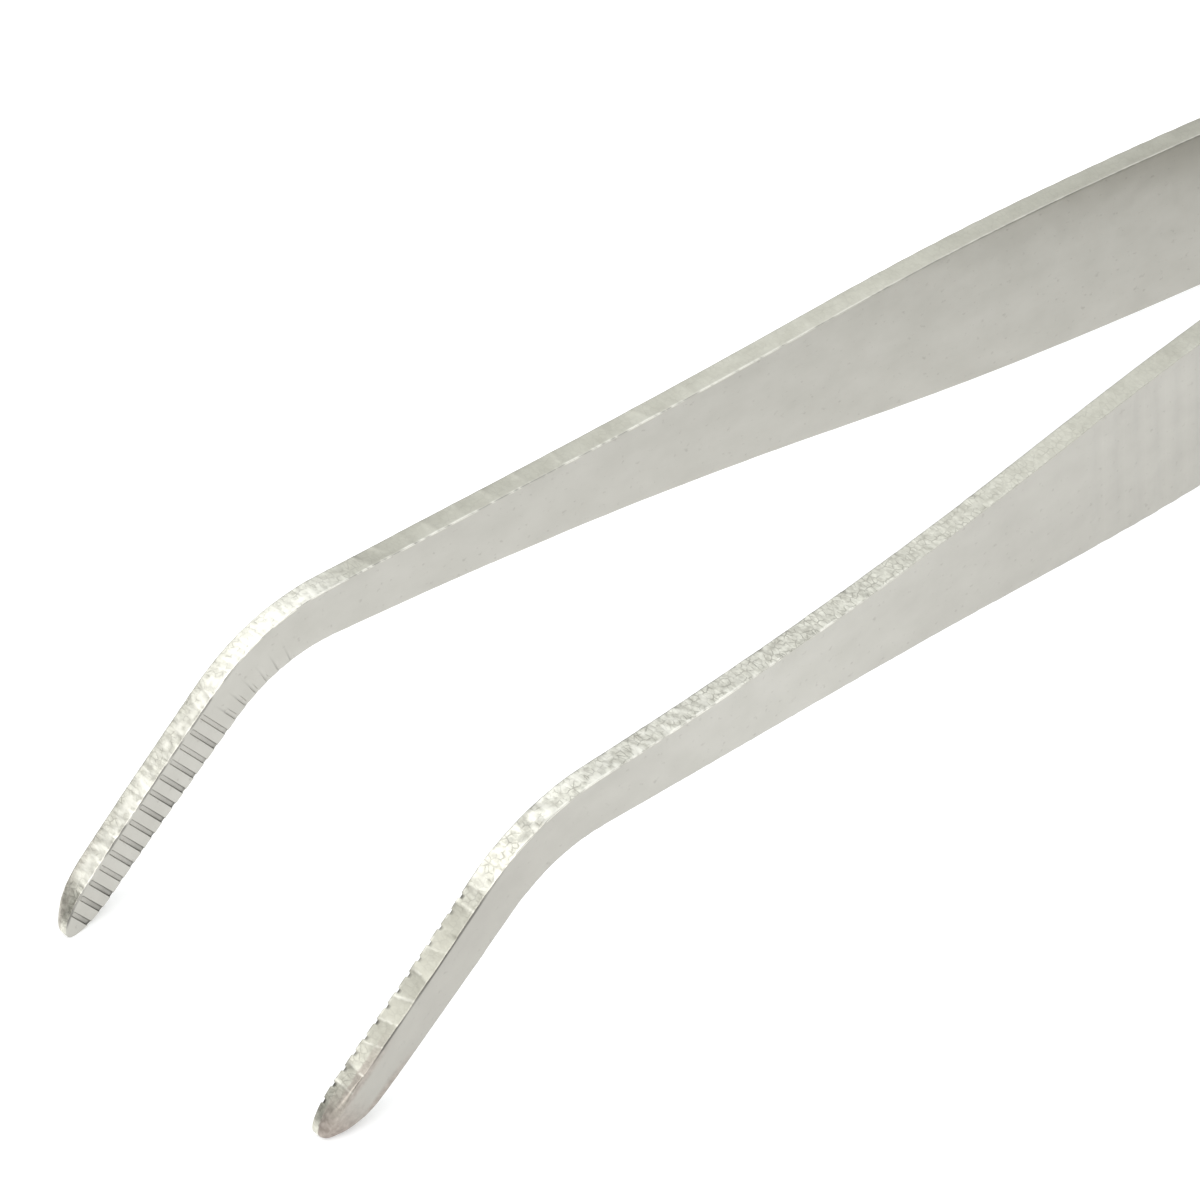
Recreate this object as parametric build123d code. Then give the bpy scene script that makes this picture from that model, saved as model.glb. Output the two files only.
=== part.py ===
from build123d import *
import os
from math import cos, radians, sin, tan

# Bent-tip spring tweezers: two stamped stainless-steel arms, spot-welded back to back at the butt.
#
# The arms are drawn in a strip frame: X runs to the rear along the straight shank, Y from arm to arm
# and Z across the width of the strip, with the origin where the centrelines of jaw and shank cross.
# At the end everything is tilted and moved into the resting frame: +Z up, z = 0 on the table, tips
# towards -X, the left arm on -Y and the right arm on +Y.

# Driving dimensions, in millimetres and degrees
OVERALL_LENGTH = 140.0
SHEET_THICKNESS = 1.3

JAW_LENGTH = 17.0            # from the tip to where the centrelines cross
JAW_ANGLE = 37.8             # how far the jaws turn down from the shank
BEND_RADIUS = 10.6           # on the centreline

TIP_LENGTH = 3.0             # bullet-shaped end of the jaw
TIP_WIDTH = 1.94             # jaw width where the bullet starts
HEEL_POSITION = 13.6         # end of the evenly tapered jaw, measured from the tip
HEEL_WIDTH = 2.3
FLARE = [(13.6, 2.3), (56.4, 4.5), (46.4, 9.2), (78.6, 9.2)]    # width law, jaw heel to grip
GRIP_WIDTH = 9.2
TAPER_START = 98.0           # the strip narrows from here to the butt
BUTT_WIDTH = 8.2
BUTT_CORNER_RADIUS = 2.8

BOW = [(-14.5, 9.6), (21.0, 11.2), (97.0, 0.0), (110.0, 0.0)]   # half the gap between the arms, along X
LEAF_START = 76.0            # the grip ends and the springing leaf starts
WELD_START = 110.0           # the leaves meet, and the welded tabs start

TIP_ROUND_LENGTH = 2.2       # ground rounding on the outside of each tip
TIP_ROUND_DEPTH = 0.85

GROOVE_PITCH = 0.86          # serrations across the inner face of the jaws
GROOVE_WIDTH = 0.26
GROOVE_DEPTH = 0.1
GROOVE_COUNT = 20
RIGHT_GROOVE_START = 1.06
LEFT_GROOVE_START = RIGHT_GROOVE_START + GROOVE_PITCH / 2
FULL_GROOVES = 14            # the rest fade out round the bend and reach only part of the width
FADED_GROOVE_DEPTH = 0.05

RIB_START = 53.5             # finger grip: shallow grooves across the outer face
RIB_PITCH = 1.5
RIB_GROOVE_WIDTH = 0.75
RIB_GROOVE_DEPTH = 0.08
RIB_COUNT = 26

WELD_SPACING = 7.4           # between the two spot welds
WELD_INSET = 5.0             # from the rear weld to the end of the butt
NUGGET_RADIUS = 1.6
NUGGET_DEPTH = 0.8           # into each tab
ELECTRODE_RADIUS = 2.2       # shallow mark that the welding electrode leaves outside
ELECTRODE_DEPTH = 0.08

REST_TILT = 2.71             # the shank falls this much to the rear as the tweezers stand on a table

# Values that follow from them
BEND = radians(JAW_ANGLE)
BEND_TANGENT = BEND_RADIUS * tan(BEND / 2)
BEND_START = JAW_LENGTH - BEND_TANGENT
BEND_END = BEND_START + BEND_RADIUS * BEND
TIP_X = -JAW_LENGTH * cos(BEND)
BUTT_X = OVERALL_LENGTH + TIP_X
BUTT_POSITION = BEND_END + BUTT_X - BEND_TANGENT
REACH = 40.0                 # half size of a cutting block, larger than any section of the tweezers


def bezier(points, t):
    """Point of a cubic Bezier curve at parameter t."""
    weights = ((1 - t) ** 3, 3 * t * (1 - t) ** 2, 3 * t * t * (1 - t), t ** 3)
    return tuple(sum(w * p[axis] for w, p in zip(weights, points)) for axis in (0, 1))


def bezier_height(points, x):
    """Height of a Bezier curve above x, found by halving the parameter range."""
    low, high = 0.0, 1.0
    for _ in range(40):
        middle = (low + high) / 2
        if bezier(points, middle)[0] < x:
            low = middle
        else:
            high = middle
    return bezier(points, low)[1]


def strip_width(s):
    """Width of the strip at distance s from the tip."""
    if s <= HEEL_POSITION:
        share = (s - TIP_LENGTH) / (HEEL_POSITION - TIP_LENGTH)
        return TIP_WIDTH + share * (HEEL_WIDTH - TIP_WIDTH)
    if s <= FLARE[-1][0]:
        return bezier_height(FLARE, s)
    share = max(0.0, (s - TAPER_START) / (BUTT_POSITION - TAPER_START))
    return GRIP_WIDTH - (GRIP_WIDTH - BUTT_WIDTH) * share ** 2 * (3 - 2 * share)


def centreline(s):
    """Point on the centreline at distance s from the tip, and how far the strip turns down there."""
    if s <= BEND_START:
        return (s - JAW_LENGTH) * cos(BEND), (s - JAW_LENGTH) * sin(BEND), BEND
    if s >= BEND_END:
        return BEND_TANGENT + s - BEND_END, 0.0, 0.0
    turn = (BEND_END - s) / BEND_RADIUS
    return BEND_TANGENT - BEND_RADIUS * sin(turn), BEND_RADIUS * (cos(turn) - 1), turn


def across(s, height):
    """Point of the strip's side view at distance s from the tip and height across its width."""
    x, z, turn = centreline(s)
    return x - height * sin(turn), z + height * cos(turn)


def strip_plane(s):
    """Plane across the strip at distance s from the tip: its x runs along the strip, its y is Y."""
    x, z, turn = centreline(s)
    along = (cos(turn), 0, sin(turn))
    upward = (-sin(turn), 0, cos(turn))
    return Plane(origin=(x, 0, z), x_dir=along, z_dir=upward)


def side_outline():
    """Side view of one arm, from the bullet tip to the rounded butt, as a block across Y."""
    stations = [TIP_LENGTH, 8.0, HEEL_POSITION, 17.0, 20.5, 26.0, 32.0, 38.0, 44.0, 50.0, 56.0, 62.0]
    stations += [70.0, 78.6, 88.0, TAPER_START, 108.0, 118.0, 128.0, BUTT_POSITION]
    upper = [across(s, strip_width(s) / 2) for s in stations]
    lower = [across(s, -strip_width(s) / 2) for s in stations]
    jaw = (cos(BEND), sin(BEND))
    rearward = (1, 0)
    upper_edge = Spline(*upper, tangents=(jaw, rearward))
    lower_edge = Spline(*lower, tangents=(jaw, rearward))
    bullet = EllipticalCenterArc(
        across(TIP_LENGTH, 0), TIP_LENGTH, TIP_WIDTH / 2, -90, arc_size=180, rotation=180 + JAW_ANGLE
    )
    butt_edge = Line(upper[-1], lower[-1])
    outline = make_face(Curve() + [bullet, upper_edge, butt_edge, lower_edge])
    corners = outline.vertices().sort_by(Axis.X)[-2:]
    return extrude(Plane.XZ * fillet(corners, BUTT_CORNER_RADIUS), REACH, both=True)


def bowed_band(inside, outside):
    """Block over everything from inside to outside, both measured outwards from the inner face."""
    front = [(x, y + inside) for x, y in BOW]
    back = [(x, y + outside) for x, y in BOW]
    edges = [
        Bezier(*front),
        Line(front[-1], (BUTT_X + REACH, inside)),
        Line((BUTT_X + REACH, inside), (BUTT_X + REACH, outside)),
        Line((BUTT_X + REACH, outside), back[-1]),
        Bezier(*back),
        Line(back[0], front[0]),
    ]
    return extrude(make_face(Curve() + edges), REACH, both=True)


def rounding_at_tip():
    """What is ground away to round the outside of the tip."""
    outer_face = BOW[0][1] + SHEET_THICKNESS
    corner = Pos(0, outer_face) * Rectangle(2 * TIP_ROUND_LENGTH, 2 * TIP_ROUND_DEPTH)
    kept = Pos(TIP_ROUND_LENGTH, outer_face - TIP_ROUND_DEPTH) * Ellipse(TIP_ROUND_LENGTH, TIP_ROUND_DEPTH)
    return extrude(strip_plane(0) * (corner - kept), REACH / 4, both=True)


def slot(s, width, bottom, top):
    """Block across the strip at distance s from the tip, between two heights across its width."""
    middle = (bottom + top) / 2
    return strip_plane(s) * Pos(0, 0, middle) * Box(width, REACH, top - bottom)


def serrations(start):
    """Grooves across the inner face of one jaw, shallower and shorter round the bend."""
    deep = bowed_band(-1.0, GROOVE_DEPTH)
    shallow = bowed_band(-1.0, FADED_GROOVE_DEPTH)
    cuts = []
    for index in range(GROOVE_COUNT):
        s = start + index * GROOVE_PITCH
        edge = max(strip_width(s), TIP_WIDTH)
        if index < FULL_GROOVES:
            cuts.append(deep & slot(s, GROOVE_WIDTH, -edge, edge))
        else:
            cuts.append(shallow & slot(s, GROOVE_WIDTH, -edge, 0.0))
    return cuts


def grip_grooves():
    """Grooves between the ribs that the fingers hold, on the outer face."""
    skin = bowed_band(SHEET_THICKNESS - RIB_GROOVE_DEPTH, SHEET_THICKNESS + 1.0)
    positions = [RIB_START + index * RIB_PITCH for index in range(RIB_COUNT)]
    return [skin & slot(s, RIB_GROOVE_WIDTH, -GRIP_WIDTH, GRIP_WIDTH) for s in positions]


def between(start, end):
    """Block over the part of the tweezers between two places along X."""
    return Pos((start + end) / 2, 0, 0) * Box(end - start, 2 * REACH, 2 * REACH)


def weld_positions():
    """Places of the front and the rear spot weld along X."""
    rear = BUTT_X - WELD_INSET
    return rear - WELD_SPACING, rear


def along_y(x, radius, start, end):
    """Cylinder along Y at x on the shank's centreline, between two places along Y."""
    return Pos(x, (start + end) / 2, 0) * Rot(90, 0, 0) * Cylinder(radius, end - start)


def spot_weld(x):
    """Weld nugget: the metal that melted across the joint between the two tabs."""
    return along_y(x, NUGGET_RADIUS, -NUGGET_DEPTH, NUGGET_DEPTH)


def stamped_arm(groove_start):
    """One whole stamped arm on the +Y side, as its three zones: gripping arm, leaf and tab."""
    blank = side_outline() & bowed_band(0.0, SHEET_THICKNESS)
    arm = blank & between(TIP_X - 5, LEAF_START)
    arm -= [rounding_at_tip()] + serrations(groove_start) + grip_grooves()
    leaf = blank & between(LEAF_START, WELD_START)
    tab = blank & between(WELD_START, BUTT_X + 5)
    for x in weld_positions():
        tab -= spot_weld(x)
        tab -= along_y(x, ELECTRODE_RADIUS, SHEET_THICKNESS - ELECTRODE_DEPTH, SHEET_THICKNESS + 1)
    return {"arm": arm, "spring_leaf": leaf, "tail_tab": tab}


def tweezers():
    """Every node of the tweezers, still in the strip frame."""
    nodes = {"right_" + zone: shape for zone, shape in stamped_arm(RIGHT_GROOVE_START).items()}
    for zone, shape in stamped_arm(LEFT_GROOVE_START).items():
        nodes["left_" + zone] = mirror(shape, about=Plane.XZ)
    for name, x in zip(("front_spot_weld", "rear_spot_weld"), weld_positions()):
        nodes[name] = spot_weld(x)
    return nodes


def at_rest(nodes):
    """Stand the tweezers on the table: tilted, centred over the origin and with z = 0 under them."""
    tilted = {name: Rot(0, REST_TILT, 0) * shape for name, shape in nodes.items()}
    boxes = [shape.bounding_box() for shape in tilted.values()]
    rear = max(box.max.X for box in boxes)
    front = min(box.min.X for box in boxes)
    bottom = min(box.min.Z for box in boxes)
    move = Pos(-(front + rear) / 2, 0, -bottom)
    return {name: move * shape for name, shape in tilted.items()}


os.makedirs("parts", exist_ok=True)
for node, solid in at_rest(tweezers()).items():
    export_step(solid, f"parts/{node}.step")
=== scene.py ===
from math import cos, radians, sin, tan

import bpy
import numpy as np
from mathutils import Matrix, Vector


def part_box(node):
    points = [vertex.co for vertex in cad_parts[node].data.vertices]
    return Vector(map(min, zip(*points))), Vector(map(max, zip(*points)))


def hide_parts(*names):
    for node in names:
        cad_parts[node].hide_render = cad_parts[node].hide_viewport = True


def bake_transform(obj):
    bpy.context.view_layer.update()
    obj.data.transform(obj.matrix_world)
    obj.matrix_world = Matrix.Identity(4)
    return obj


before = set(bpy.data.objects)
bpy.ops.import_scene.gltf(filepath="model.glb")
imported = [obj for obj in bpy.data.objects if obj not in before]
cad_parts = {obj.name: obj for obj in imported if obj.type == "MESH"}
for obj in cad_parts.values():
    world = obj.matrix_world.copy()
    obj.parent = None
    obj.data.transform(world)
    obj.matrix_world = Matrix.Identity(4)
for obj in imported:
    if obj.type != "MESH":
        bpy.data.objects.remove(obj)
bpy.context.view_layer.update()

# Spring tweezers with bent tips. Each stamped arm is one continuous strip of steel, swept section by
# section along the strip, with the wear of cutting, filing and tumbling in its surface.
#
# The shape is worked out in millimetres in the strip frame: X to the rear along the straight shank,
# Y from arm to arm, Z across the width of the strip. Objects are in metres, in the row frame.
#
# In the functions, s is the distance from the tip along the strip, h the height across its width, w
# half of its width, and q the depth through the sheet, from the inner face outwards. side is -1 on
# the left arm and 1 on the right arm.

# ---------------------------------------------------------------- dimensions, millimetres and degrees
OVERALL_LENGTH = 140.0
SHEET_THICKNESS = 1.3
JAW_LENGTH = 17.0
JAW_ANGLE = 37.8
BEND_RADIUS = 10.6
TIP_LENGTH = 3.0
TIP_WIDTH = 1.94
HEEL_POSITION = 13.6
HEEL_WIDTH = 2.3
FLARE = [(13.6, 2.3), (56.4, 4.5), (46.4, 9.2), (78.6, 9.2)]
GRIP_WIDTH = 9.2
TAPER_START = 98.0
BUTT_WIDTH = 8.2
BUTT_CORNER_RADIUS = 2.8
BOW = [(-14.5, 9.6), (21.0, 11.2), (97.0, 0.0), (110.0, 0.0)]
TIP_ROUND_LENGTH = 2.2
TIP_ROUND_DEPTH = 0.85
GROOVE_PITCH = 0.86
GROOVE_WIDTH = 0.26
GROOVE_DEPTH = 0.1
GROOVE_COUNT = 20
RIGHT_GROOVE_START = 1.06
LEFT_GROOVE_START = RIGHT_GROOVE_START + GROOVE_PITCH / 2
FULL_GROOVES = 14
FADED_GROOVE_DEPTH = 0.05
RIB_START = 53.5
RIB_PITCH = 1.5
RIB_GROOVE_WIDTH = 0.75
RIB_GROOVE_DEPTH = 0.08
RIB_COUNT = 26
WELD_SPACING = 7.4
WELD_INSET = 5.0
ELECTRODE_RADIUS = 2.2
ELECTRODE_DEPTH = 0.08
REST_TILT = 2.71

BEND = radians(JAW_ANGLE)
BEND_TANGENT = BEND_RADIUS * tan(BEND / 2)
BEND_START = JAW_LENGTH - BEND_TANGENT
BEND_END = BEND_START + BEND_RADIUS * BEND
TIP_X = -JAW_LENGTH * cos(BEND)
BUTT_X = OVERALL_LENGTH + TIP_X
BUTT_POSITION = BEND_END + BUTT_X - BEND_TANGENT
WELDS = (BUTT_X - WELD_INSET - WELD_SPACING, BUTT_X - WELD_INSET)
GROOVE_START = {-1: LEFT_GROOVE_START, 1: RIGHT_GROOVE_START}

# ---------------------------------------------------------------- strip frame to row frame
TILT = radians(REST_TILT)
STRIP_AXES = np.array([(cos(TILT), 0, -sin(TILT)), (0, 1, 0), (sin(TILT), 0, cos(TILT))])


def middle_of(node):
    """Middle of a CAD node's box, in millimetres."""
    low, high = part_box(node)
    return np.array((low + high) / 2) * 1000


STRIP_ORIGIN = middle_of("front_spot_weld") - WELDS[0] * STRIP_AXES[0]


def to_row(points):
    """Points of the strip frame in millimetres, as points of the row frame in metres."""
    return (STRIP_ORIGIN + np.asarray(points, float) @ STRIP_AXES) / 1000


# ---------------------------------------------------------------- shape laws
def curve_height(points, x):
    """Height of a cubic Bezier curve above x."""
    t = np.linspace(0, 1, 6001)[:, None]
    p = np.array(points)
    c = (1 - t) ** 3 * p[0] + 3 * t * (1 - t) ** 2 * p[1] + 3 * t * t * (1 - t) * p[2] + t ** 3 * p[3]
    return np.interp(x, c[:, 0], c[:, 1])


def smooth(x):
    """Smooth step from 0 to 1."""
    x = np.clip(x, 0, 1)
    return x * x * (3 - 2 * x)


def half_width(s):
    """Half of the strip's width, with the bullet tip and the rounded butt."""
    jaw = TIP_WIDTH + (s - TIP_LENGTH) / (HEEL_POSITION - TIP_LENGTH) * (HEEL_WIDTH - TIP_WIDTH)
    taper = smooth((s - TAPER_START) / (BUTT_POSITION - TAPER_START))
    width = np.where(s <= HEEL_POSITION, jaw, curve_height(FLARE, s)) - (GRIP_WIDTH - BUTT_WIDTH) * taper
    bullet = np.sqrt(np.clip(1 - ((TIP_LENGTH - np.minimum(s, TIP_LENGTH)) / TIP_LENGTH) ** 2, 0, 1))
    into = np.clip(s - (BUTT_POSITION - BUTT_CORNER_RADIUS), 0, BUTT_CORNER_RADIUS)
    corner = BUTT_CORNER_RADIUS - np.sqrt(BUTT_CORNER_RADIUS ** 2 - into ** 2)
    return np.where(s < TIP_LENGTH, TIP_WIDTH * bullet, width) / 2 - corner


def across(s, h):
    """X and Z of the strip's side view at distance s from the tip and height h across its width."""
    turn = np.clip((BEND_END - s) / BEND_RADIUS, 0, BEND)
    x = BEND_TANGENT - BEND_RADIUS * np.sin(turn)
    z = BEND_RADIUS * (np.cos(turn) - 1)
    x = x + np.maximum(s - BEND_END, 0) - np.maximum(BEND_START - s, 0) * cos(BEND)
    z = z - np.maximum(BEND_START - s, 0) * sin(BEND)
    return x - h * np.sin(turn), z + h * np.cos(turn)


def weld_distance(x, s, h):
    """Distance along the strip's faces from the middle of the spot weld at x."""
    return np.hypot(s - (BUTT_POSITION - BUTT_X + x), h)


def wave(x, period, seed):
    """Smooth random wave between about -1 and 1, one node each period."""
    count = 4096
    nodes = np.random.default_rng(seed).uniform(-1, 1, count)
    u = np.asarray(x, float) / period + 900
    i = np.floor(u).astype(int)
    f = u - i
    f = f * f * (3 - 2 * f)
    return nodes[i % count] * (1 - f) + nodes[(i + 1) % count] * f


def grain(x, y, period_x, period_y, seed):
    """Smooth random field over two directions."""
    count = 512
    nodes = np.random.default_rng(seed).uniform(-1, 1, (count, count))
    u, v = np.asarray(x, float) / period_x + 700, np.asarray(y, float) / period_y + 300
    i, j = np.floor(u).astype(int), np.floor(v).astype(int)
    f, g = u - i, v - j
    f, g = f * f * (3 - 2 * f), g * g * (3 - 2 * g)
    i, j, i2, j2 = i % count, j % count, (i + 1) % count, (j + 1) % count
    low = nodes[i, j] * (1 - f) + nodes[i2, j] * f
    high = nodes[i, j2] * (1 - f) + nodes[i2, j2] * f
    return low * (1 - g) + high * g


# ---------------------------------------------------------------- sections along one arm
INNER, TOP, OUTER, BOTTOM = 0, 1, 2, 3
FLAT_CELLS = 26              # across the inner and the outer face
EDGE_CELLS = 13              # across the top and the bottom edge
CORNER_CELLS = 4             # round each crease
FIRST_COLUMN = 0.05          # the two columns nearest to a crease, measured from the end of their face
SECOND_COLUMN = 0.13
SHANK_END = 46.0             # sections lie closer together towards the jaws
GRIP_END = 92.0
SHANK_STEP = 0.1
GRIP_STEP = 0.19
REAR_STEP = 0.42
LEAST_STEP = 0.012
TIP_SECTIONS = 42
BUTT_SECTIONS = 22
GROOVE_SECTIONS = (-0.165, -0.14, -0.10, 0.0, 0.10, 0.14, 0.165, 0.25, 0.34, 0.43, 0.52, 0.61)
INNER_CREASE_RADIUS = 0.03
OUTER_CREASE_RADIUS = 0.035
GROUND_RADIUS = 0.42         # added to the outer creases at the tip


def stations(groove_start):
    """Distances from the tip at which the strip has a section."""
    tip = TIP_LENGTH * (1 - np.cos(np.linspace(0.05, np.pi / 2, TIP_SECTIONS)))
    starts = groove_start + np.arange(GROOVE_COUNT) * GROOVE_PITCH
    grooves = (starts[:, None] + np.array(GROOVE_SECTIONS)).ravel()
    last = groove_start + GROOVE_COUNT * GROOVE_PITCH + GROOVE_SECTIONS[0]
    turn = np.linspace(0, np.pi / 2, BUTT_SECTIONS)
    s = np.concatenate([
        tip[tip < grooves[0] - 0.03],
        grooves,
        tip[tip > grooves[0]],
        np.arange(last, SHANK_END, SHANK_STEP),
        np.arange(SHANK_END, GRIP_END, GRIP_STEP),
        np.arange(GRIP_END, BUTT_POSITION - BUTT_CORNER_RADIUS, REAR_STEP),
        BUTT_POSITION - BUTT_CORNER_RADIUS * (1 - np.sin(turn)),
    ])
    s = np.unique(np.round(s, 4))
    return s[np.concatenate([[True], np.diff(s) > LEAST_STEP])]


def section_columns():
    """Every column of a section: its face, its place on that face and its turn round a crease, 0 to 1."""
    columns = []
    for face, cells in ((INNER, FLAT_CELLS), (TOP, EDGE_CELLS), (OUTER, FLAT_CELLS), (BOTTOM, EDGE_CELLS)):
        columns += [(face, k / cells, 0.0) for k in range(cells + 1)]
        columns += [(face, 1.0, k / CORNER_CELLS) for k in range(1, CORNER_CELLS)]
    return np.array(columns)


def spread(place, length, cells):
    """Places along a face, from 0 to 1, with its two outermost columns at each end near the crease."""
    k = place[None, :] * cells
    first, second = FIRST_COLUMN / length, SECOND_COLUMN / length
    middle = second + (k - 2) / (cells - 4) * (1 - 2 * second)
    near = np.where(k < 0.5, 0, np.where(k < 1.5, first, middle))
    return np.where(k > cells - 0.5, 1, np.where(k > cells - 1.5, 1 - first, near))


def inner_depth(s, h, w, side):
    """Depth of the inner face, with the serrations cut into it."""
    depth = np.zeros_like(h)
    for i in range(GROOVE_COUNT):
        ds = np.abs(s - GROOVE_START[side] - i * GROOVE_PITCH)
        notch = np.clip((GROOVE_WIDTH / 2 + 0.012 - ds) / 0.04, 0, 1)
        if i < FULL_GROOVES:
            deep = GROOVE_DEPTH * (1 + 0.15 * wave(i, 1, 11))
            depth += notch * deep * (1 if side < 0 else smooth((0.97 - h / w) / 0.3))
        else:
            reach = smooth((0.35 - 0.14 * (i - FULL_GROOVES) - h / w) / 0.9)
            depth += notch * FADED_GROOVE_DEPTH * reach
    return depth * (0.45 + 0.55 * smooth((h / w + 1) / 0.12))


def outer_depth(s, h, w):
    """Depth of the outer face, with the rounded tip, the grip ribs and the electrode marks."""
    past = np.clip((TIP_ROUND_LENGTH - s) / TIP_ROUND_LENGTH, 0, 1)
    depth = SHEET_THICKNESS - TIP_ROUND_DEPTH * (1 - np.sqrt(1 - past ** 2))
    position = (s - RIB_START) / RIB_PITCH
    ribbed = (position > -0.5) & (position < RIB_COUNT - 0.5)
    swing = np.abs(position - np.round(position)) * RIB_PITCH / (RIB_GROOVE_WIDTH / 2)
    # The ribs are rolled in, and run out softly towards both edges of the strip
    pressed = 0.25 + 0.75 * smooth((w - np.abs(h)) / 0.9)
    depth = depth - pressed * np.where(ribbed, RIB_GROOVE_DEPTH * (1 - smooth((swing - 0.35) / 1.1)), 0)
    for x in WELDS:
        past_mark = weld_distance(x, s, h) - ELECTRODE_RADIUS
        depth -= ELECTRODE_DEPTH * (1 - smooth((past_mark + 0.35) / 0.5))
    return depth


def strip_section(s, side):
    """Grids of height and depth, one row a section, with each row's half width and each column's face."""
    columns = section_columns()
    face, place, turn = columns[:, 0].astype(int), columns[:, 1], columns[:, 2] * np.pi / 2
    s = s[:, None]
    w = half_width(s)
    at = np.where(np.isin(face, (INNER, OUTER)), spread(place, 2 * w, FLAT_CELLS),
                  spread(place, SHEET_THICKNESS, EDGE_CELLS))
    h = w * np.select([face == INNER, face == TOP, face == OUTER, face == BOTTOM],
                      [2 * at - 1, 1 + 0 * at, 1 - 2 * at, -1 + 0 * at])
    rear = smooth((s - 100) / 12)
    blunt = smooth((3.6 - s) / 3.4)
    r_in = np.minimum(INNER_CREASE_RADIUS + 0.05 * rear, 0.45 * w)
    r_out = np.minimum(OUTER_CREASE_RADIUS + 0.045 * rear + GROUND_RADIUS * blunt, 0.8 * w)
    q_in = inner_depth(s, h, w, side) + 0.004 * rear
    q_out = outer_depth(s, h, w)

    # Height and depth on every face in turn: on its flat, then on the crease that leads to the next face
    a, b = np.sin(turn), np.cos(turn)
    shapes = {
        INNER: ((-(w - r_in) + 2 * (w - r_in) * at, q_in),
                (w - r_in + r_in * a, q_in + r_in - r_in * b)),
        TOP: ((w, (q_in + r_in) + (q_out - r_out - q_in - r_in) * at),
              (w - r_out + r_out * b, q_out - r_out + r_out * a)),
        OUTER: (((w - r_out) - 2 * (w - r_out) * at, q_out),
                (-(w - r_out) - r_out * a, q_out - r_out + r_out * b)),
        BOTTOM: ((-w, (q_out - r_out) + (q_in + r_in - q_out + r_out) * at),
                 (-(w - r_in) - r_in * b, q_in + r_in - r_in * a)),
    }
    q = np.zeros_like(h)
    for name, (flat, crease) in shapes.items():
        for on, (height, depth) in ((turn == 0, flat), (turn > 0, crease)):
            h = np.where(on & (face == name), height, h)
            q = np.where(on & (face == name), depth, q)
    return h, q, w, face


# ---------------------------------------------------------------- wear
WEAR_SEED = {-1: 100, 1: 200}

# Facet lengths along the edges: up to a distance from the tip, the shortest and the longest
FACETS = {-1: ((13.0, 0.9, 1.4), (21.0, 0.35, 0.8), (46.0, 0.25, 0.7), (400.0, 0.9, 2.5)),
          1: ((21.0, 0.25, 0.5), (30.0, 0.8, 2.0), (400.0, 1.5, 4.0))}

FACET_LEAN = {-1: 1.1, 1: 0.8}        # degrees
FACET_DISH = {-1: 0.011, 1: 0.007}    # rise of a facet's ends, for each millimetre of its length
FACET_STEP = 0.003
MOST_FACETS = 4096


def facets(s, q, side, seed):
    """Filed facets along an edge: each point's facet number, place in it from -1 to 1, and its length."""
    rng = np.random.default_rng(seed)
    bounds = [-1.0]
    while bounds[-1] < BUTT_POSITION + 5:
        low, high = next((a, b) for end, a, b in FACETS[side] if bounds[-1] < end)
        bounds.append(bounds[-1] + rng.uniform(low, high))
    bounds = np.array(bounds)
    skewed = s + (q - SHEET_THICKNESS / 2) * 0.35 * wave(s, 1.3, seed + 5)
    number = np.clip(np.searchsorted(bounds, skewed, side="right") - 1, 0, len(bounds) - 2)
    length = bounds[number + 1] - bounds[number]
    return number, (skewed - bounds[number]) / length * 2 - 1, length


def filed_edge(s, q, side, seed):
    """How far an edge face stands out, as a file leaves it: dished flats with ridges between them."""
    number, along, length = facets(s, q, side, seed)
    rng = np.random.default_rng(seed + 7)
    leans = np.tan(np.radians(rng.normal(0, FACET_LEAN[side], MOST_FACETS)))[number]
    steps = rng.normal(0, FACET_STEP, MOST_FACETS)
    level = steps[number] * (1 - along) / 2 + steps[number + 1] * (1 + along) / 2
    leaning = leans * (q - SHEET_THICKNESS / 2) * (1 - np.abs(along) ** 6)
    return leaning + level + FACET_DISH[side] * length * np.abs(along) ** 3


def fine_marks(s, side):
    """Strength of the fine shearing marks on the strip's edges, from 0 to 1."""
    if side < 0:
        return 0.2 + 0.8 * smooth((s - 11) / 4) * smooth((58 - s) / 26) + 0.5 * smooth((6 - s) / 3)
    return 0.15 + 0.85 * smooth((24 - s) / 5)


def worn(s, h, q, w, side):
    """Adds filing flats, shearing marks and tumbling to the section grids."""
    seed = WEAR_SEED[side]
    thick = np.clip(q / SHEET_THICKNESS, 0, 1)
    near_edge = smooth((np.abs(h) / w - 1) / 0.02 + 1)
    fine = fine_marks(s, side)
    amount = smooth(s / 2.5)
    for sign, extra in ((1, 0), (-1, 1)):
        edge = near_edge * (np.sign(h) == sign)
        filed = filed_edge(s, q, side, seed + extra)
        comb = wave(s + 0.3 * q, 0.2, seed + 10 + extra) * 0.004 * smooth((thick - 0.42) / 0.2)
        blotched = grain(s, q, 0.26, 0.22, seed + 20 + extra) * 0.005 * smooth((0.62 - thick) / 0.2)
        rough = grain(s, q, 0.2, 0.16, seed + 30 + extra) * 0.0015
        standing = filed * np.clip(1.3 - s / 60, 0.3, 1) + fine * (comb + blotched + rough)
        h = h + sign * edge * amount * standing
    flats = (1 - near_edge) * smooth((s - 1) / 4)
    soft = grain(s, h, 9.0, 3.0, seed + 40) * 0.010 + grain(s, h, 2.3, 1.1, seed + 41) * 0.001
    tip = smooth((4.2 - s) / 3)
    ground = (grain(s, h + 3 * q, 0.35, 0.25, seed + 50) + wave(s + 0.6 * h, 0.3, seed + 51)) * 0.013 * tip
    outward = np.where(thick > 0.5, 1.0, -1.0)
    q = q + outward * (flats * soft * (np.abs(thick - 0.5) > 0.25) + ground * (thick > 0.55))
    return h, q


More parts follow.
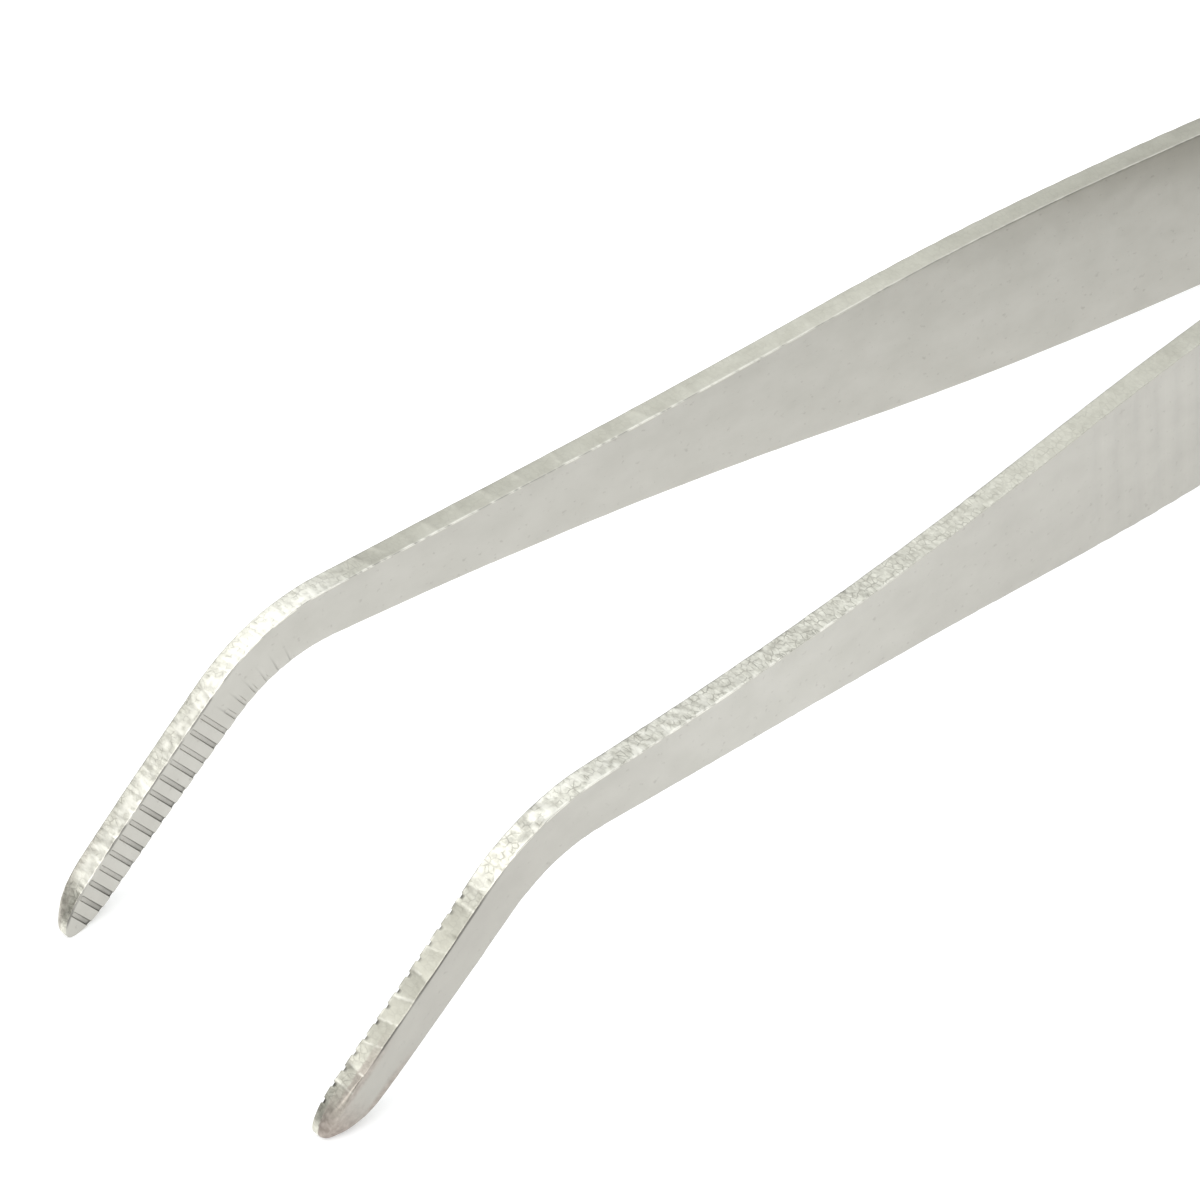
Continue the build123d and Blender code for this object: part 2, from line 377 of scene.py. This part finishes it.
def groove_shade(s, h, q, w, face, side):
    """Painted shade along the walls of the serrations, and in their mouths on the left jaw's top edge."""
    shade_and_tint = np.zeros_like(h)
    for i in range(GROOVE_COUNT):
        ds = s - GROOVE_START[side] - i * GROOVE_PITCH
        strength = 0.54 - 0.014 * i + 0.13 * wave(i, 1, 31)
        if i < FULL_GROOVES:
            middle = 1 - smooth((0.10 - np.abs(ds - 0.02)) / 0.10) * 0.45
            shape = smooth((0.165 - np.abs(ds)) / 0.03) * middle
            reach = 0.35 + 0.65 * smooth((0.8 - h / w) / 1.6)
            reach = reach * smooth((0.86 + 0.06 * wave(i, 1, 32) - h / w) / 0.12)
        else:
            shape = smooth((0.07 - np.abs(ds + 0.09)) / 0.05)
            reach = 0.8 * smooth((0.75 - 0.12 * (i - FULL_GROOVES) - h / w) / 1.2)
        # Painted shade on the walls of the serrations, on the inner face
        shade_and_tint = np.maximum(shade_and_tint, shape * reach * strength * (face == INNER))
        # Painted shade in the mouths of the notches on the left jaw's top edge
        if side < 0 and i < FULL_GROOVES:
            mouth = (face == TOP) * (h > 0) * smooth((0.30 - q) / 0.10)
            dark = 0.75 + 0.2 * wave(i, 1, 35)
            shade_and_tint = np.maximum(shade_and_tint, mouth * smooth((0.13 - np.abs(ds)) / 0.05) * dark)
    return shade_and_tint


def crease_shade(s, h, q, w, face, side):
    """Painted shade along the creases of the jaw, the bend and the shank, and on the bend's top edge."""
    if side > 0:
        # Right arm: a painted shade line on the inner face, just under the top crease of the jaw
        beside = (face == INNER) * smooth((h - w + 0.12) / 0.05)
        return 0.6 * beside * smooth((16 - s) / 3) * smooth(0.6 + wave(s, 0.8, 34))
    # Left arm: a painted shade line under and over the outer top crease of the jaw, painted shade on the
    # bend's top edge, and a painted shade line along the inner top crease behind the jaw
    under = (face == OUTER) * smooth((h - w + 0.13) / 0.06)
    over = (face == TOP) * smooth((q - SHEET_THICKNESS + 0.04) / 0.03)
    along = smooth((s - 3.6) / 1.5) * smooth((15.5 - s) / 2.5) * (0.75 + 0.25 * wave(s, 0.9, 33))
    bend = (face == TOP) * smooth((s - 14.5) / 1.2) * smooth((18.6 - s) / 1.2)
    rim = (face == TOP) * (h > 0) * smooth((0.09 - q) / 0.05) * smooth((s - 12) / 3)
    return np.maximum.reduce([
        0.8 * np.maximum(under, over) * along,
        0.3 * bend * smooth(0.4 + 1.5 * grain(s, q, 0.45, 0.5, 37)),
        0.35 * rim * smooth((60 - s) / 20) * smooth(0.5 + wave(s, 0.45, 36)),
    ])


def weld_tint(s, h, face):
    """Faint heat tint in and round the electrode marks."""
    tint = np.zeros_like(h)
    for x in WELDS:
        distance = weld_distance(x, s, h)
        ring = smooth((0.6 - np.abs(distance - ELECTRODE_RADIUS)) / 0.4)
        tint = np.maximum(tint, (face == OUTER) * (0.06 * (distance < ELECTRODE_RADIUS) + 0.14 * ring))
    return tint


def highlight_at(s, h, q, w, face, side):
    """Painted highlights, 0 to 1: a broken bright line along a crease, bright ridges between filed facets,
    and glints and flecks on the top edges.
    """
    corner = smooth((np.abs(h) - w + 0.07) / 0.04) * (h > 0)
    broken = smooth(0.55 + 0.9 * wave(s, 0.7, 61) + 0.7 * wave(s, 0.2, 62))
    top = (face == TOP) * smooth((s - 1.5) / 2)
    number, along, length = facets(s, q, side, WEAR_SEED[side])
    ridge = smooth((0.10 - (1 - np.abs(along)) * length / 2) / 0.06) * smooth(0.7 + wave(number, 1, 63))
    flecks = np.clip(0.25 + 1.2 * grain(s, q, 0.24, 0.36, 65), 0, 1)
    if side < 0:
        # Left arm: a painted highlight line along the outer top crease, glints beside the notches, flecks on
        # the bend and bright ridges on the jaw
        outside = corner * smooth((q - SHEET_THICKNESS + 0.12) / 0.05)
        crease_glint = outside * broken * smooth((s - 13) / 4) * smooth((44 - s) / 12) * 0.9
        glints = top * smooth((0.17 - q) / 0.08) * smooth(0.2 + 1.2 * wave(s, 0.24, 64))
        glints = glints * smooth((16 - s) / 3)
        bend = top * flecks * smooth((s - 12) / 3) * smooth((34 - s) / 11)
        jaw = 0.6 * ridge * top * smooth((15 - s) / 3)
        return np.maximum.reduce([crease_glint, 0.8 * glints, 0.7 * bend, jaw])
    # Right arm: a painted highlight line along the inner top crease, and bright flecks and ridges on the
    # filed top edge of the jaw and the bend
    inside = corner * smooth((0.10 - q) / 0.05)
    crease_glint = inside * broken * (0.4 + 0.6 * smooth((s - 10) / 5)) * (0.35 + 0.65 * smooth((60 - s) / 20))
    filed = top * smooth((22 - s) / 3) * (0.3 + 0.7 * smooth((1.15 - q) / 0.5))
    filed = filed * (0.25 + 0.75 * np.maximum(flecks, ridge))
    return np.maximum(crease_glint * smooth((s - 1) / 2), filed)


def sheen_at(s, face):
    """How bright the flat faces are painted, from 0 to 1: a painted sheen, lightest on the outer face behind
    the bend.
    """
    sheen_band = np.exp(-((s - 31) / 9) ** 2)
    return np.where(face == OUTER, 0.28 * smooth((s - 12) / 8) + 0.55 * sheen_band, 0.70)


def tip_at(s, h, q, side):
    """How rough and dull the ground end of the tip is, from 0 to 1."""
    corner = smooth((np.abs(h) - half_width(s) + 0.5) / 0.3) * (q > 0.9) * smooth((6.5 - s) / 3)
    return np.maximum(smooth((3.0 - s) / 2.6), 0.7 * corner) * (q > 0.45) * (1 if side < 0 else 0.4)


# ---------------------------------------------------------------- one arm as an object
CAP_RINGS = ((0.93, 0.04), (0.6, 0.05), (0.2, 0.05))    # size, and how far it stands out to the rear
SHARP_ANGLE = 32.0


def strip_surface(side):
    """Vertices in row-frame metres, quads, end faces, and what is known of every vertex of one strip."""
    s = stations(GROOVE_START[side])
    h, q, w, face = strip_section(s, side)
    s = s[:, None] + 0 * h
    # Painted shade in the serrations and along the creases, with the heat tint round the welds
    shade_and_tint = np.maximum.reduce([
        groove_shade(s, h, q, w, face, side),
        crease_shade(s, h, q, w, face, side),
        weld_tint(s, h, face),
    ])
    # Painted highlights along the creases and on the filed edges
    painted_highlight = highlight_at(s, h, q, w, face, side)
    h, q = worn(s, h, q, w, side)
    x, z = across(s, h)
    y = side * (curve_height(BOW, np.maximum(x, BOW[0][0])) * (x < BOW[-1][0]) + q)
    points = np.stack([x, y, z], axis=-1)

    # The butt's end face: the last section shrinks over a small bevel, then a flat closes it
    centre = points[-1].mean(axis=0)
    cap = [centre + (points[-1] - centre) * size + (out, 0, 0) for size, out in CAP_RINGS]
    vertices = np.concatenate([points.reshape(-1, 3), *cap])
    rows, cols = h.shape
    index = np.arange(len(vertices)).reshape(-1, cols)
    a, b = index[:-1], index[1:]
    quads = np.stack([a, np.roll(a, -1, 1), np.roll(b, -1, 1), b], axis=-1).reshape(-1, 4)
    ends = [index[0][::-1], index[-1]]

    # The end face is a cut edge, so it is mapped and painted as one
    cap_h = np.tile(h[-1], len(cap))
    values = {
        "s": np.concatenate([s.ravel(), s[-1, 0] + cap_h]),
        "h": np.concatenate([h.ravel(), cap_h]),
        "q": np.concatenate([q.ravel(), np.tile(q[-1], len(cap))]),
        "face": np.concatenate([np.tile(face, rows), np.full(len(cap_h), TOP)]),
        "shade_and_tint": np.concatenate([shade_and_tint.ravel(), np.zeros_like(cap_h)]),
        "painted_highlight": np.concatenate([painted_highlight.ravel(), np.zeros_like(cap_h)]),
    }
    return to_row(vertices), quads, ends, values


def signed_volume(vertices, quads):
    """Volume inside the quads of a closed mesh, negative when they face inwards."""
    a, b, c, d = (vertices[quads[:, k]] for k in range(4))
    return (np.einsum("ij,ij->i", a, np.cross(b, c)) + np.einsum("ij,ij->i", a, np.cross(c, d))).sum() / 6


def paint(mesh, name, values):
    """A number at every vertex, for the material to read."""
    layer = mesh.attributes.new(name, "FLOAT", "POINT")
    layer.data.foreach_set("value", np.asarray(values, np.float32))


def map_strip(mesh, s, h, q, face):
    """Flat map of the strip in millimetres: along it, and round it with every face in its own band."""
    loops = np.zeros(len(mesh.loops), int)
    mesh.loops.foreach_get("vertex_index", loops)
    wrap = np.select([face == INNER, face == TOP, face == OUTER], [h, 10 + q, 20 + h], 30 + q)
    uv = mesh.uv_layers.new(name="strip")
    uv.data.foreach_set("uv", np.stack([s[loops], wrap[loops]], axis=-1).ravel())


def mark_sharp(mesh, angle):
    """Marks edges sharper than an angle, in degrees."""
    normals = np.zeros(len(mesh.polygons) * 3)
    mesh.polygons.foreach_get("normal", normals)
    normals = normals.reshape(-1, 3)
    loop_edge = np.zeros(len(mesh.loops), int)
    mesh.loops.foreach_get("edge_index", loop_edge)
    totals = np.zeros(len(mesh.polygons), int)
    mesh.polygons.foreach_get("loop_total", totals)
    owner = np.repeat(np.arange(len(mesh.polygons)), totals)
    order = np.argsort(loop_edge, kind="stable")
    first, count = np.unique(loop_edge[order], return_index=True, return_counts=True)[1:]
    pair = first[count == 2]
    edge = loop_edge[order][pair]
    facing = np.einsum("ij,ij->i", normals[owner[order][pair]], normals[owner[order][pair + 1]])
    sharp = np.zeros(len(mesh.edges), bool)
    sharp[edge] = facing < cos(radians(angle))
    layer = mesh.attributes.new("sharp_edge", "BOOLEAN", "EDGE")
    layer.data.foreach_set("value", sharp)


def make_strip(name, side):
    """One arm's strip as an object."""
    vertices, quads, ends, values = strip_surface(side)
    if signed_volume(vertices, quads) < 0:
        quads = quads[:, ::-1]
        ends = [end[::-1] for end in ends]
    mesh = bpy.data.meshes.new(name)
    mesh.from_pydata(vertices.tolist(), [], quads.tolist() + [end.tolist() for end in ends])
    mesh.update()
    mesh.polygons.foreach_set("use_smooth", np.ones(len(mesh.polygons), bool))
    mark_sharp(mesh, SHARP_ANGLE)
    s, h, q, face = (values[key] for key in ("s", "h", "q", "face"))
    map_strip(mesh, s, h, q, face)
    paint(mesh, "edge", np.isin(face, (TOP, BOTTOM)))
    paint(mesh, "fine", fine_marks(s, side))
    # The painted sheen of the flats, the painted shade with the heat tint, and the painted highlights, as
    # numbers for the material
    paint(mesh, "painted_sheen", sheen_at(s, face))
    paint(mesh, "shade_and_tint", values["shade_and_tint"])
    paint(mesh, "painted_highlight", values["painted_highlight"])
    paint(mesh, "tip", tip_at(s, h, q, side))
    obj = bpy.data.objects.new(name, mesh)
    bpy.context.collection.objects.link(obj)
    return obj


# ---------------------------------------------------------------- materials
class Surface:
    """Shader nodes of one material. A mix or map node's sockets go by their numbers in Blender."""

    def __init__(self, name):
        self.material = bpy.data.materials.new(name)
        self.material.use_nodes = True
        self.nodes = self.material.node_tree.nodes
        self.links = self.material.node_tree.links
        self.nodes.clear()
        output = self.nodes.new("ShaderNodeOutputMaterial")
        self.shader = self.nodes.new("ShaderNodeBsdfPrincipled")
        self.links.new(self.shader.outputs[0], output.inputs[0])

    def feed(self, source, name):
        """Connects a value to an input of the shader."""
        self.links.new(source, self.shader.inputs[name])

    def strip_map(self, scale):
        """The strip's flat map, scaled along and round the strip."""
        uv = self.nodes.new("ShaderNodeUVMap")
        uv.uv_map = "strip"
        mapping = self.nodes.new("ShaderNodeMapping")
        mapping.inputs["Scale"].default_value = (*scale, 1)
        self.links.new(uv.outputs[0], mapping.inputs[0])
        return mapping.outputs[0]

    def noise(self, scale, stretch, detail, rough=0.55):
        """Cloudy noise over the strip, from 0 to 1."""
        texture = self.nodes.new("ShaderNodeTexNoise")
        texture.inputs["Scale"].default_value = scale
        texture.inputs["Detail"].default_value = detail
        texture.inputs["Roughness"].default_value = rough
        self.links.new(self.strip_map(stretch), texture.inputs["Vector"])
        return texture.outputs[0]

    def ranged(self, value, low, high, out_low, out_high):
        """A value mapped from one range to another, and kept inside it."""
        node = self.nodes.new("ShaderNodeMapRange")
        node.inputs[1].default_value, node.inputs[2].default_value = low, high
        node.inputs[3].default_value, node.inputs[4].default_value = out_low, out_high
        self.links.new(value, node.inputs[0])
        return node.outputs[0]

    def mixed(self, factor, a, b):
        """Two colours mixed, each a tuple or another node's output."""
        node = self.nodes.new("ShaderNodeMix")
        node.data_type = "RGBA"
        self.links.new(factor, node.inputs[0])
        for socket, value in ((node.inputs[6], a), (node.inputs[7], b)):
            if isinstance(value, tuple):
                socket.default_value = (*value, 1)
            else:
                self.links.new(value, socket)
        return node.outputs[2]

    def blended(self, factor, a, b):
        """Two numbers mixed."""
        node = self.nodes.new("ShaderNodeMix")
        self.links.new(factor, node.inputs[0])
        self.links.new(a, node.inputs[2])
        self.links.new(b, node.inputs[3])
        return node.outputs[0]

    def painted(self, name):
        """A number painted on the mesh."""
        node = self.nodes.new("ShaderNodeAttribute")
        node.attribute_name = name
        return node.outputs["Fac"]

    def cracks(self):
        """Thin dark borders between sheared grains: 0 on a border and 1 inside a grain."""
        place = self.strip_map((5.6, 3.4))
        wobble = self.nodes.new("ShaderNodeTexNoise")
        wobble.inputs["Scale"].default_value = 2.0
        self.links.new(place, wobble.inputs["Vector"])
        shift = self.nodes.new("ShaderNodeMix")
        shift.data_type = "VECTOR"
        shift.inputs[0].default_value = 0.35
        self.links.new(place, shift.inputs[4])
        self.links.new(wobble.outputs["Color"], shift.inputs[5])
        cells = self.nodes.new("ShaderNodeTexVoronoi")
        cells.voronoi_dimensions = "2D"
        cells.feature = "DISTANCE_TO_EDGE"
        cells.inputs["Scale"].default_value = 1.0
        self.links.new(shift.outputs[1], cells.inputs["Vector"])
        joined = self.nodes.new("ShaderNodeMath")
        joined.operation = "MAXIMUM"
        self.links.new(self.ranged(cells.outputs["Distance"], 0.0, 0.12, 0, 1), joined.inputs[0])
        self.links.new(self.ranged(self.noise(1.1, (1.2, 2), 2), 0.4, 0.62, 0.1, 1), joined.inputs[1])
        return joined.outputs[0]


def flat_colour(surface):
    """Tumbled flat faces: soft clouds, a painted sheen that lightens them in places, and a few small pits.
    """
    cloud = surface.ranged(surface.noise(0.35, (1, 1.6), 3), 0.3, 0.7, 0, 1)
    # dull and bright are the shaded and the lit copy of the flat colour, mixed by the painted sheen
    dull = surface.mixed(cloud, (0.445, 0.43, 0.395), (0.48, 0.467, 0.425))
    bright = surface.mixed(cloud, (0.515, 0.505, 0.46), (0.565, 0.552, 0.51))
    pits = surface.ranged(surface.noise(2.4, (1, 1.3), 2), 0.64, 0.74, 0, 0.5)
    return surface.mixed(pits, surface.mixed(surface.painted("painted_sheen"), dull, bright), (0.36, 0.34, 0.31))


def edge_colour(surface):
    """Sheared edges: bright grains with dark borders, softened where the marks are faint."""
    comb = surface.ranged(surface.noise(1.3, (3.2, 1.6), 3, 0.6), 0.35, 0.65, 0, 1)
    grains = surface.mixed(comb, (0.56, 0.545, 0.47), (0.82, 0.805, 0.71))
    sheared = surface.mixed(surface.cracks(), (0.38, 0.365, 0.31), grains)
    cloud = surface.ranged(surface.noise(0.5, (1, 1.5), 3), 0.35, 0.65, 0, 1)
    soft = surface.mixed(cloud, (0.555, 0.54, 0.46), (0.63, 0.615, 0.53))
    return surface.mixed(surface.painted("fine"), soft, sheared)


def steel_material():
    """Satin stainless steel, with its edges and ground tips, and the painted highlights, painted shade and
    heat tint where the mesh is painted.
    """
    surface = Surface("satin_steel")
    surface.shader.inputs["Metallic"].default_value = 1.0
    edge, tip, fine = surface.painted("edge"), surface.painted("tip"), surface.painted("fine")

    colour = surface.mixed(edge, flat_colour(surface), edge_colour(surface))
    speckle = surface.ranged(surface.noise(4.0, (1, 1), 3), 0.35, 0.65, 0, 1)
    colour = surface.mixed(tip, colour, surface.mixed(speckle, (0.345, 0.30, 0.265), (0.50, 0.445, 0.40)))
    # Painted highlights, mixed towards near white
    colour = surface.mixed(surface.painted("painted_highlight"), colour, (0.95, 0.93, 0.84))
    # Painted shade, and the heat tint of the welds, mixed towards near black
    colour = surface.mixed(surface.painted("shade_and_tint"), colour, (0.07, 0.066, 0.06))
    surface.feed(colour, "Base Color")

    flat_rough = surface.ranged(surface.noise(1.1, (1, 1), 4), 0.3, 0.7, 0.28, 0.36)
    edge_rough = surface.ranged(surface.noise(1.6, (2, 1), 3), 0.3, 0.7, 0.30, 0.42)
    tip_rough = surface.ranged(surface.noise(2.0, (1, 1), 3), 0.3, 0.7, 0.5, 0.6)
    surface.feed(surface.blended(tip, surface.blended(edge, flat_rough, edge_rough), tip_rough), "Roughness")

    satin = surface.ranged(surface.noise(5.0, (1, 1), 4, 0.6), 0, 1, 0, 0.5)
    streaks = surface.blended(fine, satin, surface.noise(1.4, (3.2, 1.4), 4, 0.65))
    bump = surface.nodes.new("ShaderNodeBump")
    bump.inputs["Strength"].default_value = 0.6
    bump.inputs["Distance"].default_value = 0.000014
    surface.links.new(surface.blended(edge, satin, streaks), bump.inputs["Height"])
    surface.feed(bump.outputs[0], "Normal")
    return surface.material


def plain_material(name, colour, metallic, roughness, glow=0.0):
    """One even colour, with a white glow of its own if asked."""
    surface = Surface(name)
    surface.shader.inputs["Base Color"].default_value = (*colour, 1)
    surface.shader.inputs["Metallic"].default_value = metallic
    surface.shader.inputs["Roughness"].default_value = roughness
    if glow:
        surface.shader.inputs["Emission Color"].default_value = (0.99, 1.0, 1.01, 1)
        surface.shader.inputs["Emission Strength"].default_value = glow
    return surface.material


# ---------------------------------------------------------------- the two arms and the welds
STEEL = steel_material()
for arm, side in (("left", -1), ("right", 1)):
    strip = make_strip(f"{arm}_arm_strip", side)
    strip.data.materials.append(STEEL)
    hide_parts(f"{arm}_arm", f"{arm}_spring_leaf", f"{arm}_tail_tab")
    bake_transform(strip)

WELD = plain_material("weld_metal", (0.5, 0.48, 0.45), 1.0, 0.45)
for name in ("front_spot_weld", "rear_spot_weld"):
    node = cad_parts[name]
    node.data.materials.clear()
    node.data.materials.append(WELD)

# ---------------------------------------------------------------- floor, light and camera
FLOOR_SIZE = 6.0
FLOOR_GLOW = 0.43
LOW_SKY = (0.16, 0.16, 0.15)
BRIGHT_SKY = (1.35, 1.385, 1.42)
OVERHEAD_SKY = (0.66, 0.68, 0.70)
BRIGHTENING = (0.45, 0.65)   # heights on the sky, from 0 at the horizon to 1 overhead
SOFTENING = (0.80, 0.93)
LIGHT_TARGET = Vector((-0.03, 0, 0.005))

# The camera's direction and distance from its target, in the strip frame, and its lens
VIEW_AZIMUTH = radians(-36.64)
VIEW_ELEVATION = radians(36.42)
VIEW_ROLL = radians(-4.8)
VIEW_DISTANCE = 296.9
VIEW_TARGET = (12.44, 0.0, 1.09)
LENS = 187.96
SENSOR_WIDTH = 36.0


def make_floor():
    """Plain white floor that glows, so that the tweezers stand on even white."""
    bpy.ops.mesh.primitive_plane_add(size=FLOOR_SIZE, location=(0, 0, 0))
    plane = bpy.context.object
    plane.name = "floor"
    plane.data.materials.append(plain_material("floor_white", (0.68, 0.68, 0.68), 0.0, 0.6, FLOOR_GLOW))
    return plane


def make_sky():
    """Studio walls and ceiling: dim up to 27 degrees, bright from 41 to 53, and softer from 68 up."""
    world = bpy.data.worlds.new("studio")
    bpy.context.scene.world = world
    world.use_nodes = True
    nodes, links = world.node_tree.nodes, world.node_tree.links
    direction = nodes.new("ShaderNodeTexCoord")
    split = nodes.new("ShaderNodeSeparateXYZ")
    links.new(direction.outputs["Generated"], split.inputs[0])
    shades = []
    for colour, heights in ((BRIGHT_SKY, BRIGHTENING), (OVERHEAD_SKY, SOFTENING)):
        rise = nodes.new("ShaderNodeMapRange")
        rise.interpolation_type = "SMOOTHSTEP"
        rise.inputs[1].default_value, rise.inputs[2].default_value = heights
        links.new(split.outputs["Z"], rise.inputs[0])
        shade = nodes.new("ShaderNodeMix")
        shade.data_type = "RGBA"
        shade.inputs[7].default_value = (*colour, 1)
        links.new(rise.outputs[0], shade.inputs[0])
        shades.append(shade)
    bright, overhead = shades
    bright.inputs[6].default_value = (*LOW_SKY, 1)
    links.new(bright.outputs[2], overhead.inputs[6])
    links.new(overhead.outputs[2], nodes["Background"].inputs[0])
    nodes["Background"].inputs[1].default_value = 1.0


def area_light(name, azimuth, elevation, distance, size, power, colour=(1, 1, 1)):
    """Square soft box that faces the shank. It stands on the -Y side at azimuth 0, and on +X at 90."""
    a, e = radians(azimuth), radians(elevation)
    away = Vector((sin(a) * cos(e), -cos(a) * cos(e), sin(e)))
    data = bpy.data.lights.new(name, "AREA")
    data.shape = "SQUARE"
    data.size = size
    data.energy = power
    data.color = colour
    lamp = bpy.data.objects.new(name, data)
    lamp.location = LIGHT_TARGET + away * distance
    lamp.rotation_mode = "QUATERNION"
    lamp.rotation_quaternion = (-away).to_track_quat("-Z", "Y")
    bpy.context.collection.objects.link(lamp)


def make_camera():
    """Long lens in front of the tweezers and to their left, looking down on the jaws."""
    forward, sideways, upward = (Vector(axis) for axis in STRIP_AXES)
    back = (forward * sin(VIEW_AZIMUTH) * cos(VIEW_ELEVATION)
            - sideways * cos(VIEW_AZIMUTH) * cos(VIEW_ELEVATION)
            + upward * sin(VIEW_ELEVATION))
    level = (-back).cross(upward).normalized()
    plumb = level.cross(-back)
    right = level * cos(VIEW_ROLL) + plumb * sin(VIEW_ROLL)
    up = -level * sin(VIEW_ROLL) + plumb * cos(VIEW_ROLL)
    camera = bpy.data.objects.new("camera", bpy.data.cameras.new("camera"))
    camera.data.sensor_width = SENSOR_WIDTH
    camera.data.lens = LENS
    camera.data.clip_start = 0.01
    camera.data.clip_end = 20.0
    place = Vector(to_row(VIEW_TARGET)) + back * VIEW_DISTANCE / 1000
    camera.matrix_world = Matrix.Translation(place) @ Matrix((right, up, back)).transposed().to_4x4()
    bpy.context.collection.objects.link(camera)
    bpy.context.scene.camera = camera


floor = make_floor()
make_sky()
area_light("key", -75, 58, 1.2, 1.5, 10, (1.0, 0.985, 0.95))
area_light("back", 178, 52, 1.2, 0.8, 0.25)
area_light("left", -148, 41, 1.2, 0.7, 0.3, (1.0, 0.97, 0.9))
make_camera()
bpy.context.scene.view_settings.view_transform = "Standard"
bpy.context.scene.view_settings.look = "None"
